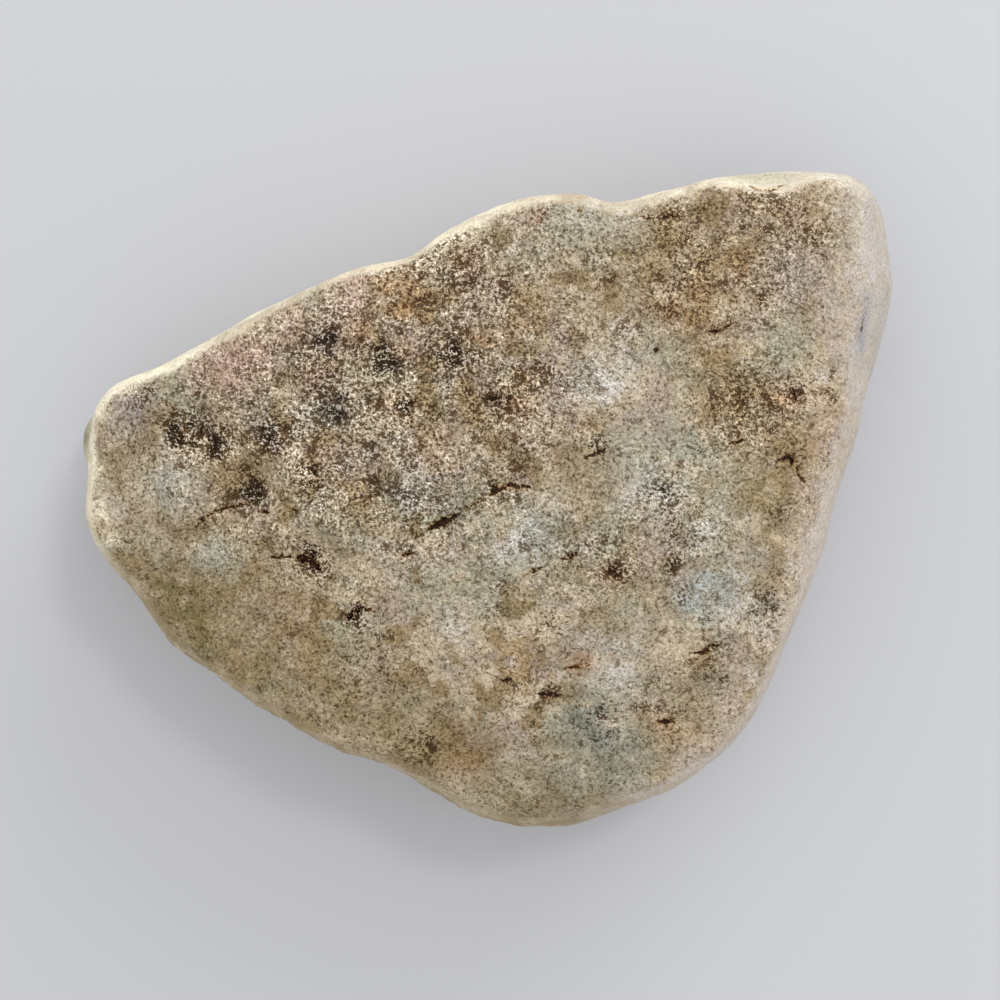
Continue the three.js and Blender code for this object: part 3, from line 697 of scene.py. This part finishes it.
def makeSkinTree():
    tree = bpy.data.node_groups.new("stoneSkin", "GeometryNodeTree")
    face = tree.interface
    face.new_socket("Geometry", in_out="OUTPUT", socket_type="NodeSocketGeometry")
    face.new_socket("Geometry", in_out="INPUT", socket_type="NodeSocketGeometry")
    face.new_socket("Cracks", in_out="INPUT", socket_type="NodeSocketObject")
    face.new_socket("Finish", in_out="INPUT", socket_type="NodeSocketMaterial")
    for name in skin:
        kind = "NodeSocketInt" if name == "Seed" else "NodeSocketFloat"
        face.new_socket(name, in_out="INPUT", socket_type=kind)
    given = {s.name: Wire(s) for s in tree.nodes.new("NodeGroupInput").outputs if s.name}
    mesh = given["Geometry"]
    place = mesh.node("GeometryNodeInputPosition")
    outward = mesh.node("GeometryNodeInputNormal")
    side = named(mesh, "side")

    def swelling(name, number):
        moved = place.vector("ADD", [step * number for step in relief["noiseStep"]])
        field = moved.noise(given[name + " size"], roughness=0.55)
        return (field - 0.5) * 2 * given[name + " height"]

    pit = pitsOn(mesh, place, given)
    toCrack, depth = cracksOn(mesh, place, given)
    calm = 1 - side * relief["sideCalm"]
    gritty = relief["gritLeast"] + relief["gritRough"] * named(mesh, "rough")
    rise = swelling("Swell", 1) * calm + swelling("Lump", 2) * calm
    rise = rise + swelling("Grit", 3) * calm * gritty
    rise = rise - pit * given["Pit depth"] - toCrack.bell() * depth
    rise = rise - named(mesh, "pitted").smooth(*relief["cavityRamp"]) * given["Cavity depth"]
    shelf = place.noise(given["Ledge size"], detail=4.0, roughness=0.6)
    ledges = shelf.steps(relief["ledgeRamps"]) - len(relief["ledgeRamps"]) / 2
    rise = rise + ledges * given["Ledge height"] * (1 - side)
    raised = place.vector("ADD", outward.scale(rise))
    level = raised.vector("MAXIMUM", (-1.0, -1.0, 0.0))  # nothing goes below the ground

    # The finish reads these two. They are kept before the points move, as they are distances from
    # the unmoved skin.
    marked = mesh
    for name, value in (("pit", pit), ("toCrack", toCrack)):
        settings = {"data_type": "FLOAT", "domain": "POINT"}
        sockets = {"Geometry": marked, "Name": name, "Value": value}
        marked = marked.node("GeometryNodeStoreNamedAttribute", settings, sockets)
    moved = marked.node("GeometryNodeSetPosition", None, {"Geometry": marked, "Position": level})
    real = moved.node("GeometryNodeRealizeInstances", None, {"Geometry": moved})
    sockets = {"Geometry": real, "Material": given["Finish"]}
    done = real.node("GeometryNodeSetMaterial", None, sockets)
    tree.links.new(done.socket, tree.nodes.new("NodeGroupOutput").inputs[0])
    return tree


def raiseSkin(stone, material):
    lines = makeCrackLines(stone.data)
    modifier = stone.modifiers.new("skin", "NODES")
    modifier.node_group = makeSkinTree()
    given = {"Cracks": lines, "Finish": material}
    for name, size in skin.items():
        given[name] = size if name in ("Seed", "Pits per mm2") else size * mm
    for item in modifier.node_group.interface.items_tree:
        if item.in_out == "INPUT" and item.name in given:
            modifier[item.identifier] = given[item.name]
    replaceMesh(stone, evaluatedMesh(stone))
    bpy.data.objects.remove(lines)


# The finish: sizes of its noise in millimetres, shares, and ramps from where something begins to show
# to where it shows in full. Tints multiply the colour of the skin.
finish = {
    "grainSize": 0.45, "fineSize": 0.25, "clumpSize": 1.7, "patchSize": 3.2,
    "strokeSize": 1.3, "strokePatchSize": 1.0, "ledgeSize": skin["Ledge size"],
    "fineShare": 0.6, "clumpShare": 0.3,  # what finer grains and clumps add to the grains
    "patchRamp": (0.38, 0.62),
    # The skin is wilder, with more contrast, where it is rough or eaten.
    "wildLeast": 0.4, "wildEaten": 0.4, "wildPatch": 0.12,
    "smoothGrain": 0.75, "roughGrain": 2.35, "rubbedGrain": 0.4,  # how far grains part into light and dark
    "darkestGrain": 0.47, "warmest": 1.5,
    "warmth": (0.1, 0.35),  # dark grains lose more green and blue than red, up to the warmest
    # Holes are the lowest of the grains, up to a level, and short dark strokes.
    "holeLevel": 0.25, "holeEaten": 0.2, "holeWild": 0.03, "holeSide": 0.1, "holeEdge": (-0.05, 0.03),
    "strokeWidth": (0.0005, 0.003), "strokePatchRamp": (0.52, 0.6), "strokeGrain": (0.3, 0.52),
    "strokes": 1.1, "strokePatch": 0.5, "strokeEaten": 0.5, "strokeSide": 0.85,
    "pitRamp": (0.15, 0.5), "pitGrain": (0.5, 0.62), "cavityRamp": (0.9, 1.4),
    "pitTint": (0.27, 0.18, 0.1, 1.0), "pitTintLeast": 0.75,
    "cavityTint": (0.11, 0.07, 0.036, 1.0),
    # The cracks' dark brown is partly stain and partly painted shade.
    "crackStainAndShade": (0.18, 0.11, 0.06, 1.0), "crackStainAndShadeRamp": (0.85, 1.15),
    "crackEdge": (0.75, 0.6, 0.4, 1.0), "crackEdgeRamp": (1.2, 2.0), "crackFray": 2.5,
    "gain": (1.05, 1.06, 1.09),  # makes up for what the grains and holes take away
    "bumpHeight": 0.4, "bumpGrain": 0.5, "bumpGrainSide": 0.3, "bumpHole": 0.1,
    "bumpLedge": 0.2, "bumpLedgeWild": 0.3, "bumpLedgeSide": 0.8,
    "ledgeRamps": ((0.41, 0.43), (0.5, 0.515), (0.58, 0.6)),
    "roughness": 0.7, "holeRoughness": 0.15, "sideRoughness": 0.1, "gloss": 0.25,
}


def makeFinish():
    material = bpy.data.materials.new("weatheredJadeite")
    material.use_nodes = True
    tree = material.node_tree
    surface = tree.nodes["Principled BSDF"]
    place = Wire(tree.nodes.new("ShaderNodeTexCoord").outputs["Object"])

    def kept(name, output="Fac"):
        return place.node("ShaderNodeAttribute", {"attribute_name": name}, None, output)

    def noiseOf(name, *shape):
        # a size of the finish, then the noise's detail, roughness and distortion
        return place.noise(finish[name] * mm, *shape)

    eaten, rough, side = kept("pitted"), kept("rough"), kept("side")
    fine = noiseOf("fineSize", 0.5)
    patch = noiseOf("patchSize").smooth(*finish["patchRamp"])
    height = noiseOf("grainSize", 1.5, 0.6, 0.3) + finish["fineShare"] * (fine - 0.5)
    height = height + finish["clumpShare"] * (noiseOf("clumpSize") - 0.5)
    wild = rough * between(finish["wildLeast"], 1, patch)
    wild = wild + finish["wildEaten"] * eaten + finish["wildPatch"] * patch
    wild = wild.atMost(1.0) * (1 - side)

    edge = finish["holeLevel"] + finish["holeEaten"] * eaten
    edge = edge + finish["holeWild"] * wild - finish["holeSide"] * side
    low, high = (edge + past for past in finish["holeEdge"])
    curl = noiseOf("strokeSize", 1.0, 0.5, 0.4) - 0.5
    stroke = 1 - (curl * curl).smooth(*finish["strokeWidth"])
    stroke = stroke * noiseOf("strokePatchSize", 1.0).smooth(*finish["strokePatchRamp"])
    stroke = stroke * (1 - finish["strokeSide"] * side)
    stroke = stroke * (finish["strokes"] - finish["strokePatch"] * patch + finish["strokeEaten"] * eaten)
    hole = (1 - height.smooth(low, high)).atLeast(stroke * fine.smooth(*finish["strokeGrain"]))
    pit = kept("pit").smooth(*finish["pitRamp"]) * (1 - height.smooth(*finish["pitGrain"]))
    deep = hole.atLeast(pit)

    contrast = between(finish["smoothGrain"], finish["roughGrain"], wild)
    contrast = contrast + (finish["rubbedGrain"] - finish["smoothGrain"]) * side
    shine = (2 * height).power(contrast).atLeast(finish["darkestGrain"])
    dark = shine.atMost(finish["warmest"])
    green, blue = (shine * dark.power(share) for share in finish["warmth"])
    warm = shine.node("ShaderNodeCombineXYZ", None, {"X": shine, "Y": green, "Z": blue})
    pitShown = deep * between(finish["pitTintLeast"], 1, eaten).atMost(1.0)
    tint = warm.mixTo(finish["pitTint"], pitShown)
    tint = tint.mixTo(finish["cavityTint"], hole * eaten.smooth(*finish["cavityRamp"]))
    colour = kept("skinTone", "Color").vector("MULTIPLY", tint).vector("MULTIPLY", finish["gain"])
    ragged = kept("toCrack") + (height - 0.5) * finish["crackFray"]
    colour = colour.mixTo(finish["crackEdge"], 1 - ragged.smooth(*finish["crackEdgeRamp"]), "MULTIPLY")
    # the cracks darkened with stain and painted shade
    colour = colour.mixTo(finish["crackStainAndShade"], 1 - ragged.smooth(*finish["crackStainAndShadeRamp"]), "MULTIPLY")
    tree.links.new(colour.socket, surface.inputs["Base Color"])
    surface.inputs["Specular IOR Level"].default_value = finish["gloss"]

    ledges = noiseOf("ledgeSize", 4.0, 0.6).steps(finish["ledgeRamps"])
    ledges = ledges * (finish["bumpLedge"] + finish["bumpLedgeWild"] * wild)
    ledges = ledges * (1 - finish["bumpLedgeSide"] * side)
    bumps = height * (finish["bumpGrain"] + wild - finish["bumpGrainSide"] * side)
    bumps = bumps - finish["bumpHole"] * deep + ledges
    bump = bumps.node("ShaderNodeBump", None, {"Height": bumps, "Distance": finish["bumpHeight"] * mm})
    tree.links.new(bump.socket, surface.inputs["Normal"])
    roughness = finish["roughness"] + finish["holeRoughness"] * hole - finish["sideRoughness"] * side
    tree.links.new(roughness.socket, surface.inputs["Roughness"])
    return material


raiseSkin(stone, makeFinish())
stone.data.name = "jadeiteStone"
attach(stone, "root")
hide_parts(form["node"])
print("skin raised,", len(stone.data.polygons), "faces")
